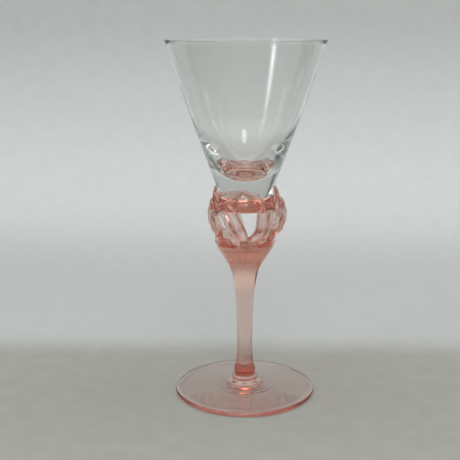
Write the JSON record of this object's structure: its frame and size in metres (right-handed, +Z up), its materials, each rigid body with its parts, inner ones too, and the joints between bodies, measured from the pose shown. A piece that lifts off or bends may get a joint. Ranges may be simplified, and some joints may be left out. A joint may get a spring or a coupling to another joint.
{
  "type": "stemmed glass",
  "caption": "Stemmed drinking glass: clear funnel-shaped bowl on an open cage of leaf-shaped loops, trumpet-topped stem and round foot.",
  "frame": {"origin": "middle of the foot's resting face, at the bottom of the glass", "axes": "+Z up along the glass's axis; -Y towards the viewer of the picture, +X to the viewer's right"},
  "size_m": [0.0832, 0.0832, 0.19],
  "materials": {
    "clear_glass": "clear, fire polished",
    "rose_glass": "clear rose, fire polished"
  },
  "bodies": {
    "root": {"foot": "rose_glass", "stem_collar": "rose_glass", "stem": "rose_glass", "loop_front": "rose_glass", "loop_right": "rose_glass", "loop_back": "rose_glass", "loop_left": "rose_glass", "bowl_seat": "rose_glass", "bowl": "clear_glass"}
  },
  "joints": []
}
